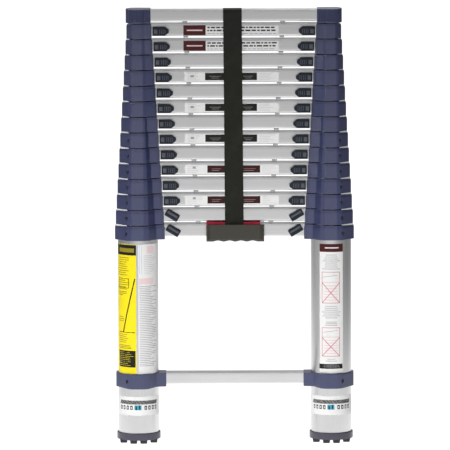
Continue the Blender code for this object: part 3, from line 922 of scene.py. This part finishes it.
def paddle_button():
    """The tilted paddle, with rounded corners and a ridge along it."""
    half_length = PADDLE_LENGTH / 2
    half_height = PADDLE_HEIGHT / 2
    front = -RUNG_DEPTH / 2 - RUNG_CLEARANCE
    skin = front - BUTTON_THICKNESS
    outline = [(-half_length, -half_height), (half_length, -half_height),
               (half_length, half_height), (-half_length, half_height)]
    bm = plate(outline, front, BUTTON_THICKNESS - 0.0015, 0.0016)
    bevel_edges(bm, rim_edges(bm, skin + 0.0015, 1), 0.0012, 3)
    ridge = box_solid((-half_length + 0.002, half_length - 0.003),
                      (skin, skin + 0.003), (-0.0002, 0.0042))
    bevel_edges(ridge, ridge.edges[:], 0.0009, 3)
    # The ridge takes the paler nylon: painted highlight.
    for item in ridge.faces:
        item.material_index = 1
    step = box_solid((-half_length + 0.003, half_length - 0.004),
                     (skin + 0.0007, skin + 0.003), (-0.0058, -0.0030))
    bevel_edges(step, step.edges[:], 0.0007, 2)
    join_meshes(bm, ridge, step)
    turn = Matrix.Rotation(PADDLE_TILT, 4, "Y")
    bmesh.ops.transform(bm, matrix=Matrix.Translation((PADDLE_CENTRE, 0, 0)) @ turn, verts=bm.verts)
    return bm


def latch_carriage():
    """The stem and the carriage that the button is moulded with."""
    front = -RUNG_DEPTH / 2 - RUNG_CLEARANCE
    stem = box_solid((0.0228, 0.0345), (front - 0.001, -0.0135), (-0.0025, 0.0025))
    carriage = box_solid((0.0165, 0.0445), (-0.0141, 0.0141), (-0.0080, 0.0080))
    bevel_edges(carriage, carriage.edges[:], 0.0008, 2)
    return join_meshes(stem, carriage)


def latch_pin():
    """The round steel pin, its nose chamfered."""
    pin = bar(0.0040, (-0.0016, 0, 0), (0.0180, 0, 0), 32)
    bevel_edges(pin, rim_edges(pin, -0.0016, 0), 0.0006, 2)
    return pin


for level in range(0, TOP_LEVEL):
    radius = level_radius(level)
    height = sum(rung_heights[level]) / 2
    for word, side in STILES.items():
        node = f"latch_{level + 1:02d}_{word}"
        place = Matrix.Translation((side * (STILE_X - radius), 0, height)) @ Matrix.Diagonal((-side, 1, 1, 1))
        button = paddle_button() if level < PADDLE_LEVELS else arrow_button()
        parts = [
            (button, "button", "button_plastic", [BUTTON_NYLON, BUTTON_HIGHLIGHT_NYLON]),
            (latch_carriage(), "carriage", "button_plastic", [BUTTON_NYLON]),
            (latch_pin(), "pin", "aluminium", [PIN_STEEL]),
        ]
        for bm, kind, slot, looks in parts:
            bmesh.ops.recalc_face_normals(bm, faces=bm.faces)
            bmesh.ops.transform(bm, matrix=place, verts=bm.verts)
            if side > 0:
                bmesh.ops.reverse_faces(bm, faces=bm.faces)
            piece(bm, f"{node}_{kind}", node, looks, [node], keep_normals=True)


# ---- Feet ----
# Each foot is a moulded rubber cup pressed over the base tube, standing on four tread bars.

FOOT_RUBBER = moulded("foot_rubber", (0.050, 0.045, 0.068), (0.070, 0.064, 0.090), (0.11, 0.105, 0.13))
# The tread bars are coloured near black, far darker than the cup above them.
NEAR_BLACK_TREAD = moulded("near_black_tread", (0.010, 0.008, 0.018), (0.016, 0.013, 0.026), (0.04, 0.036, 0.05))
TREAD_BARS = 4
BAR_PITCH = 0.0206
BAR_WIDTH = 0.0155

for word, side in STILES.items():
    node = f"foot_{word}"
    low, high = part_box(node)
    centre_x = side * STILE_X
    radius = (high.x - low.x) / 2
    sole = low.z + 0.0068
    inner = BASE_RADIUS + 0.0002
    bm = bmesh.new()
    turned(bm, centre_x, [
        (radius - 0.0015, sole), (radius - 0.0004, sole + 0.0005), (radius, sole + 0.0016),
        (radius, high.z - 0.0014), (radius - 0.0004, high.z - 0.0004), (radius - 0.0012, high.z),
        (inner + 0.0006, high.z), (inner, high.z - 0.0006), (inner, sole + 0.0048),
        (0.0005, sole + 0.0048), (0.0005, sole),
    ])
    piece(bm, f"rubber_foot_{word}", "base", [FOOT_RUBBER], [node])
    for index in range(TREAD_BARS):
        offset = (index - (TREAD_BARS - 1) / 2) * BAR_PITCH
        outer = abs(offset) > BAR_PITCH
        half = 0.026 if outer else 0.041
        x = centre_x + offset
        tread = box_solid((x - BAR_WIDTH / 2, x + BAR_WIDTH / 2), (-half, half), (low.z, sole + 0.001))
        for vert in tread.verts:
            if vert.co.z < sole:
                vert.co.x = x + (vert.co.x - x) * 0.86
        low_edges = [edge for edge in tread.edges if min(vert.co.z for vert in edge.verts) < sole]
        bevel_edges(tread, low_edges, 0.0014, 3)
        piece(tread, f"tread_bar_{word}_{index}", "base", [NEAR_BLACK_TREAD], [node])


# ---- Strap ----
# Flat polyester webbing goes over the top rung and down both faces of the stack, its ends tucked
# between the grip and the liner. The weave is laid out on the ribbon's own UV map.

def webbing():
    """Black polyester webbing: two crossing sets of threads, on the ribbon's own UV map."""
    made, shader = blank_material("black_webbing", 0.82)
    tree = made.node_tree
    place = add_node(tree, "UVMap", uv_map="UVMap").outputs["UV"]
    weave = []
    for way in (1, -1):
        turn = (0, 0, way * math.radians(28))
        laid = add_node(tree, "Mapping", {"Vector": place, "Scale": (120, way * 260, 1), "Rotation": turn})
        thread = {"Vector": laid.outputs["Vector"], "Scale": 0.5, "Distortion": 0.6}
        weave.append(add_node(tree, "TexWave", thread, bands_direction="Y").outputs["Fac"])
    both = arithmetic(tree, "MAXIMUM", *weave)
    fuzz = place_group(made, MARKS, Scale=40.0, Cover=0.45).outputs["Mark"]
    thread = tint(made, both, (0.008, 0.008, 0.006), (0.021, 0.021, 0.016))
    base = tint(made, between(made, fuzz, 0.0, 0.35), thread, (0.045, 0.045, 0.036))
    tree.links.new(base, shader.inputs["Base Color"])
    shader.inputs["Sheen Weight"].default_value = 0.15
    shader.inputs["Specular IOR Level"].default_value = 0.3
    relief(made, shader, both, 0.5, 0.0005)
    return made


BLACK_WEBBING = webbing()
STRAP_WIDTH = 0.038
STRAP_THICKNESS = 0.0018
STRAP_LEAN = -0.0028
STRAP_ROWS = 160

strap_low, strap_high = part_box("strap")
half_gap = strap_high.y - STRAP_THICKNESS / 2
corner = 0.0045
top_line = strap_high.z - STRAP_THICKNESS / 2
straight = top_line - corner - strap_low.z
arc = corner * math.pi / 2
flat_run = 2 * (half_gap - corner)
strap_length = 2 * straight + 2 * arc + flat_run


def strap_point(run):
    """The (y, z) of the strap's middle line after a run along it from its front end."""
    if run < straight:
        return -half_gap, strap_low.z + run
    run -= straight
    if run < arc:
        angle = run / corner
        return -half_gap + corner * (1 - math.cos(angle)), top_line - corner + corner * math.sin(angle)
    run -= arc
    if run < flat_run:
        return -half_gap + corner + run, top_line
    run -= flat_run
    if run < arc:
        angle = run / corner
        return half_gap - corner * (1 - math.sin(angle)), top_line - corner * (1 - math.cos(angle))
    run -= arc
    return half_gap, top_line - corner - run


bm = bmesh.new()
uv_layer = bm.loops.layers.uv.new("UVMap")
bmesh.ops.create_grid(bm, x_segments=12, y_segments=STRAP_ROWS, size=0.5, calc_uvs=True)
for face in bm.faces:
    for loop in face.loops:
        loop[uv_layer].uv = (loop.vert.co.x * STRAP_WIDTH * 10, loop.vert.co.y * strap_length * 10)
for vert in bm.verts:
    across = vert.co.x * STRAP_WIDTH
    run = (vert.co.y + 0.5) * strap_length
    y, z = strap_point(min(max(run, 0), strap_length))
    lean = STRAP_LEAN * (z - strap_low.z) / (top_line - strap_low.z)
    ripple = 0.00018 * math.sin(run * 55) * math.sin(across * 90 + run * 9)
    vert.co = (across + lean, y + (ripple if y < 0 else -ripple), z)
bmesh.ops.recalc_face_normals(bm, faces=bm.faces)
bmesh.ops.solidify(bm, geom=bm.faces[:], thickness=STRAP_THICKNESS)
bmesh.ops.recalc_face_normals(bm, faces=bm.faces)
piece(bm, "strap_webbing", "section_14", [BLACK_WEBBING], ["strap"], sharp=50)


# ---- Handle ----
# A moulded rubber grip wraps the base rung for carrying, with four finger grooves underneath and
# a beaded end. A red woven liner shows above it and keeps it from turning on the rung.

GRIP_RUBBER = moulded("grip_rubber", (0.028, 0.026, 0.019), (0.041, 0.038, 0.029), (0.058, 0.054, 0.043))
RED_WEAVE, red_shader, red_mark = mottled(
    "red_liner", 220.0, 0.5, (0.36, 0.012, 0.035), (0.52, 0.03, 0.06), 0.8
)
relief(RED_WEAVE, red_shader, red_mark, 0.3, 0.0003)
GROOVES = 4
GROOVE_PITCH = 0.0237
GROOVE_DEPTH = 0.0021


def channel(inner, outer, low, floor_z, top, corner_size):
    """The (y, z) outline of a channel that is open above, with rounded outer corners."""
    points = [(-outer, top)]
    for step in range(6):
        angle = math.pi + step * math.pi / 10
        points.append((-outer + corner_size * (1 + math.cos(angle)),
                       low + corner_size * (1 + math.sin(angle))))
    points += [(-y, z) for y, z in reversed(points)]
    return points + [(inner, top), (inner, floor_z), (-inner, floor_z), (-inner, top)]


def drawn_out(outline, start, end, steps):
    """An outline in the YZ plane drawn along X in even steps."""
    bm = bmesh.new()
    faces = [bm.faces.new([bm.verts.new((start, y, z)) for y, z in outline])]
    for step in range(steps):
        moved = draw_faces(bm, faces, ((end - start) / steps, 0, 0))
        if step:
            bmesh.ops.delete(bm, geom=faces, context="FACES_KEEP_BOUNDARY")
        faces = moved
    return bm


grip_low, grip_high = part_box("handle_grip")
grip_middle = (grip_low.x + grip_high.x) / 2
floor_z = rung_heights[0][0] - 0.0021
outline = channel(0.0228, grip_high.y, grip_low.z, floor_z, grip_high.z, 0.006)
bm = drawn_out(outline, grip_low.x, grip_high.x, 80)
for vert in bm.verts:
    if vert.co.z < floor_z - 0.0005:
        offset = abs(vert.co.x - grip_middle)
        if offset < GROOVES / 2 * GROOVE_PITCH:
            wave = 0.5 - 0.5 * math.cos(2 * math.pi * offset / GROOVE_PITCH)
            share = 1 - (vert.co.z - grip_low.z) / (floor_z - grip_low.z)
            vert.co.z += GROOVE_DEPTH * wave * share
    end_gap = min(vert.co.x - grip_low.x, grip_high.x - vert.co.x)
    if end_gap < 0.0085 and abs(vert.co.y) > 0.0235:
        pinch = 0.0011 * (0.5 - 0.5 * math.cos(2 * math.pi * end_gap / 0.0042))
        vert.co.y -= math.copysign(pinch, vert.co.y)
piece(bm, "carrying_grip", "base", [GRIP_RUBBER], ["handle_grip"], sharp=40)

liner_low, liner_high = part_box("handle_liner")
outline = channel(0.0183, liner_high.y, liner_low.z, rung_heights[0][0] - 0.0003, liner_high.z, 0.0012)
bm = drawn_out(outline, liner_low.x, liner_high.x, 24)
piece(bm, "grip_liner", "base", [RED_WEAVE], ["handle_liner"])


# ---- Stickers ----
# Thin printed vinyl on the base stiles and on some rungs. The print is only plain bars, frames and
# slanted lines, laid out as such stickers are, with no words.

def ink(name, colour, roughness=0.38):
    """Printed vinyl, very slightly mottled."""
    dull = tuple(share * 0.90 for share in colour)
    made, shader, mark = mottled(name, 70.0, 0.42, colour, dull, roughness)
    shader.inputs["Specular IOR Level"].default_value = 0.25
    made.node_tree.links.new(between(made, mark, roughness, roughness + 0.15), shader.inputs["Roughness"])
    return made


INKS = {
    "white": ink("film_white", (0.80, 0.80, 0.79)),
    "yellow": ink("film_yellow", (0.93, 0.76, 0.012)),
    "black": ink("print_black", (0.013, 0.012, 0.009)),
    "red": ink("print_dark_red", (0.066, 0.012, 0.012)),
    "maroon": ink("print_maroon", (0.036, 0.010, 0.010)),
    "pink": ink("print_pink", (0.60, 0.22, 0.24)),
    "pale_pink": ink("print_pale_pink", (0.80, 0.62, 0.64)),
    "grey": ink("print_grey", (0.34, 0.34, 0.35)),
    "pale_grey": ink("print_pale_grey", (0.60, 0.60, 0.62)),
    "pale_blue": ink("print_pale_blue", (0.45, 0.58, 0.72)),
    "blue": ink("print_blue", (0.05, 0.34, 0.46)),
    "ochre": ink("print_ochre", (0.30, 0.24, 0.020)),
}
INK_NAMES = list(INKS)
FILM = 0.00012
GLUE = 0.00003
PRINT_SINK = 0.00004


class Sticker:
    """A sheet of vinyl and its print, flat on a rung or bent round a stile."""

    def __init__(self, centre_x, surface, bent):
        self.bm = bmesh.new()
        self.centre_x = centre_x
        self.surface = surface
        self.bent = bent

    def patch(self, colour, left, right, low, high, turn=0.0, layer=1):
        """One printed patch: its ends along the surface and up it, and how far it is turned."""
        bm = bmesh.new()
        wide = right - left
        tall = high - low
        across = max(1, math.ceil(wide / 0.0025)) if self.bent else 1
        along = max(1, math.ceil(tall / 0.004)) if self.bent and turn else 1
        bmesh.ops.create_grid(bm, x_segments=across, y_segments=along, size=0.5)
        bmesh.ops.transform(bm, matrix=Matrix.Diagonal((wide, tall, 1, 1)), verts=bm.verts)
        turned_by = Matrix.Rotation(turn, 4, "Z")
        middle = Matrix.Translation(((left + right) / 2, (low + high) / 2, 0))
        bmesh.ops.transform(bm, matrix=middle @ turned_by, verts=bm.verts)
        draw_faces(bm, bm.faces[:], (0, 0, 1))
        for vert in bm.verts:
            run, rise, top = vert.co
            lift = FILM * (layer if top > 0.5 else layer - 1) + (GLUE if layer == 1 else -PRINT_SINK)
            if self.bent:
                radius = self.surface + lift
                angle = run / self.surface
                vert.co = (self.centre_x + radius * math.sin(angle), -radius * math.cos(angle), rise)
            else:
                vert.co = (self.centre_x + run, -self.surface - lift, rise)
        for face in bm.faces:
            face.material_index = INK_NAMES.index(colour)
        bmesh.ops.recalc_face_normals(bm, faces=bm.faces)
        join_meshes(self.bm, bm)

    def lines(self, colour, left, right, low, high, count, seed, thick=0.0009, centred=False):
        """Rows of fine print, as plain bars of uneven length."""
        chance = random.Random(seed)
        for row in range(count):
            height = high - (row + 0.5) * (high - low) / count
            wide = (right - left) * chance.uniform(0.55, 1.0)
            start = (left + right - wide) / 2 if centred else left
            self.patch(colour, start, start + wide, height - thick / 2, height + thick / 2, layer=2)

    def frame(self, colour, left, right, low, high, thick=0.0007):
        """A printed outline."""
        self.patch(colour, left, right, low, low + thick, layer=2)
        self.patch(colour, left, right, high - thick, high, layer=2)
        self.patch(colour, left, left + thick, low + thick, high - thick, layer=2)
        self.patch(colour, right - thick, right, low + thick, high - thick, layer=2)

    def stroke(self, colour, start, end, thick=0.0008):
        """A slanted printed line between two points on the sticker."""
        run = end[0] - start[0]
        rise = end[1] - start[1]
        length = math.hypot(run, rise)
        middle = ((start[0] + end[0]) / 2, (start[1] + end[1]) / 2)
        self.patch(colour, middle[0] - thick / 2, middle[0] + thick / 2, middle[1] - length / 2,
                   middle[1] + length / 2, turn=-math.atan2(run, rise), layer=3)

    def stick(self, name, body):
        piece(self.bm, name, body, list(INKS.values()), keep_normals=True)


STICKER_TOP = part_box("base_collar_left")[0].z - 0.008
STICKER_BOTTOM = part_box("bottom_collar_left")[1].z + 0.001
left_x = -STILE_X
right_x = STILE_X


def on_stile(offset):
    """The run along a base stile's surface that lies this far from its centre line as seen from the front."""
    return BASE_RADIUS * math.asin(max(-0.995, min(0.995, offset / BASE_RADIUS)))


# The yellow sticker shows how far out to stand the ladder: a wall, the ground and a leaning ladder.
edge = on_stile(-0.0409)
inner = on_stile(-0.0037)
sticker = Sticker(left_x, BASE_RADIUS, True)
sticker.patch("yellow", edge, inner, STICKER_BOTTOM, STICKER_TOP)
sticker.patch("black", edge + 0.001, inner, STICKER_TOP - 0.0225, STICKER_TOP - 0.001, layer=2)
sticker.patch("ochre", edge + 0.012, inner - 0.004, STICKER_TOP - 0.0165, STICKER_TOP - 0.008, layer=3)
text_left = on_stile(-0.0385)
for seed, (low, high, share, count) in enumerate([
    (0.347, 0.387, 0.75, 9), (0.318, 0.340, 0.75, 5), (0.306, 0.316, 0.55, 3),
    (0.252, 0.264, 0.50, 3), (0.208, 0.228, 0.85, 5), (0.196, 0.205, 0.85, 3),
]):
    sticker.lines("ochre", text_left, text_left + (inner - text_left) * share, low, high, count, seed, 0.0014)
sticker.frame("black", text_left, text_left + 0.030, 0.322, 0.342, 0.0011)
sticker.stroke("black", (on_stile(-0.0300), 0.2310), (on_stile(-0.0065), 0.3420), 0.0024)
sticker.patch("black", text_left, inner - 0.003, 0.2300, 0.2312, layer=2)
sticker.patch("black", text_left, inner - 0.002, 0.1585, 0.1930, layer=2)
sticker.lines("yellow", text_left + 0.002, inner - 0.004, 0.1605, 0.1910, 8, 11, 0.0011)
sticker.stick("sticker_yellow", "base")

# The pale sticker beside it is all fine print.
sticker = Sticker(left_x, BASE_RADIUS, True)
start = on_stile(0.0006)
end = on_stile(0.0396)
sticker.patch("white", start, end, STICKER_BOTTOM, STICKER_TOP)
sticker.patch("pale_pink", on_stile(0.018), on_stile(0.031), 0.394, 0.409, layer=2)
sticker.lines("pale_grey", on_stile(0.012), on_stile(0.036), 0.350, 0.391, 11, 21, 0.0013)
for offset in (0.0030, 0.0072):
    sticker.patch("pale_blue", on_stile(offset), on_stile(offset) + 0.0009, 0.352, 0.410, layer=2)
sticker.patch("pale_pink", start + 0.001, on_stile(0.030), 0.331, 0.343, layer=2)
sticker.lines("grey", on_stile(0.003), on_stile(0.037), 0.160, 0.328, 46, 22, 0.0012)
sticker.stick("sticker_small_print", "base")

# The right stile's sticker: a dark red heading, and two framed pictures struck out with a cross.
sticker = Sticker(right_x, BASE_RADIUS, True)
side_run = on_stile(0.0236)
sticker.patch("white", -side_run, side_run, STICKER_BOTTOM + 0.002, STICKER_TOP)
sticker.patch("red", -side_run, side_run, STICKER_TOP - 0.0165, STICKER_TOP, layer=2)
sticker.patch("white", -0.013, 0.015, STICKER_TOP - 0.0092, STICKER_TOP - 0.0068, layer=3)
sticker.lines("grey", -0.021, 0.021, 0.359, 0.392, 8, 31, 0.0012, centred=True)
sticker.lines("grey", -0.021, 0.021, 0.258, 0.286, 7, 32, 0.0012, centred=True)
sticker.lines("grey", -0.014, 0.014, 0.243, 0.253, 3, 33, 0.0012, centred=True)
sticker.lines("grey", -0.012, 0.012, 0.1685, 0.1765, 2, 36, 0.0010, centred=True)
for low, high in ((0.290, 0.355), (0.180, 0.240)):
    sticker.frame("pink", -0.020, 0.018, low, high, 0.0012)
    third = (high - low) / 3
    sticker.patch("pink", -0.020, 0.018, high - third, high - third + 0.0006, layer=2)
    sticker.stroke("grey", (-0.017, high - third / 2), (0.013, high - third / 2 + 0.004))
    sticker.stroke("pink", (-0.019, low + 0.001), (0.017, high - third - 0.001), 0.0015)
    sticker.stroke("pink", (-0.019, high - third - 0.001), (0.017, low + 0.001), 0.0015)
    sticker.lines("pale_pink", -0.016, 0.014, low + 0.004, high - third - 0.004, 6, 34, 0.0022, True)
sticker.patch("black", -side_run - 0.001, side_run - 0.001, 0.1545, 0.1645, layer=2)
sticker.lines("pale_grey", -0.020, 0.020, 0.1570, 0.1620, 2, 35, centred=True)
sticker.stick("sticker_crossed_boxes", "base")

# A band round the foot of each base stile: a slanted dark stripe over dark blocks, with a blue one midway.
for word, side in STILES.items():
    sticker = Sticker(side * STILE_X, BASE_RADIUS, True)
    reach = on_stile(0.0405)
    sticker.patch("white", -reach, reach, 0.0585, 0.0975)
    for index in range(-15, 16):
        middle = index * 0.0029
        sticker.patch("black", middle - 0.0011, middle + 0.0011, 0.0815, 0.0900, turn=-0.35, layer=2)
    sticker.patch("blue", -0.0085, 0.0060, 0.0700, 0.0800, layer=2)
    sticker.patch("black", -0.0060, -0.0035, 0.0700, 0.0775, layer=3)
    sticker.patch("black", 0.0010, 0.0035, 0.0715, 0.0800, layer=3)
    for index in range(4):
        for way in (-1, 1):
            middle = way * (0.0150 + index * 0.0085)
            sticker.patch("black", middle - 0.0026, middle + 0.0026, 0.0705, 0.0790, layer=2)
            sticker.patch("white", middle - 0.0009, middle + 0.0009, 0.0725, 0.0765, layer=3)
    sticker.stick(f"sticker_foot_band_{word}", "base")

# Rung stickers: a dark heading block with bars beside it, or a black block in the middle.
FRONT = RUNG_DEPTH / 2
for level in (13, 12):
    low, high = rung_heights[level]
    sticker = Sticker(0, FRONT, False)
    sticker.patch("white", -0.0575, 0.0915, low + 0.0015, high - 0.0042)
    sticker.patch("red", -0.1030, -0.0575, low + 0.0015, high - 0.0030)
    sticker.patch("pale_pink", -0.0960, -0.0640, low + 0.0104, low + 0.0131, layer=2)
    chance = random.Random(level)
    for height, thick, print_ink in (
        (0.0160, 0.0028, "black"), (0.0098, 0.0030, "black"), (0.0044, 0.0012, "grey"),
    ):
        start = -0.0540
        while start < 0.0840:
            wide = chance.uniform(0.0030, 0.0110)
            sticker.patch(print_ink, start, start + wide, low + height, low + height + thick, layer=2)
            start += wide + 0.0022
    sticker.stick(f"sticker_rung_{level:02d}", f"section_{level:02d}")

RIGHT_SEED = 20
for levels, block, block_ends, upper_ink, upper, lower, mark, side_print, count, thick in (
    ((10, 8, 6), "black", (-0.0590, 0.0470), "grey", ((-0.0500, -0.0270), (0.0190, 0.0380)),
     (0.004, 0.003, 0.0085, 0.0091), (-0.0890, -0.0820, 0.0105, 0.0150),
     (-0.0950, -0.0680, 0.0520), 5, 0.0011),
    ((4, 2), "maroon", (-0.0550, 0.0530), "pink", ((-0.0460, -0.0270), (0.0190, 0.0440)),
     (0, 0.004, 0.0087, 0.0094), (-0.0850, -0.0790, 0.0130, 0.0175),
     (-0.0960, -0.0640, 0.0570), 4, 0.0010),
):
    for level in levels:
        low, high = rung_heights[level]
        sticker = Sticker(0, FRONT, False)
        sticker.patch("white", -0.1010, 0.0915, low + 0.0015, high - 0.0042)
        sticker.patch(block, *block_ends, low + 0.0045, high - 0.0055, layer=2)
        for start, end in upper:
            sticker.patch(upper_ink, start, end, low + 0.0122, low + 0.0128, layer=3)
            after, before, bottom, top = lower
            sticker.patch("grey", start + after, end - before, low + bottom, low + top, layer=3)
        left, right, right_start = side_print
        bottom, top = low + 0.0035, low + 0.0200
        sticker.lines("pale_grey", left, right, bottom, top, count, level, thick)
        sticker.patch("grey", *mark[:2], low + mark[2], low + mark[3], layer=3)
        sticker.lines("pale_grey", right_start, 0.0870, bottom, top, count, level + RIGHT_SEED, thick)
        sticker.stick(f"sticker_rung_{level:02d}", f"section_{level:02d}")
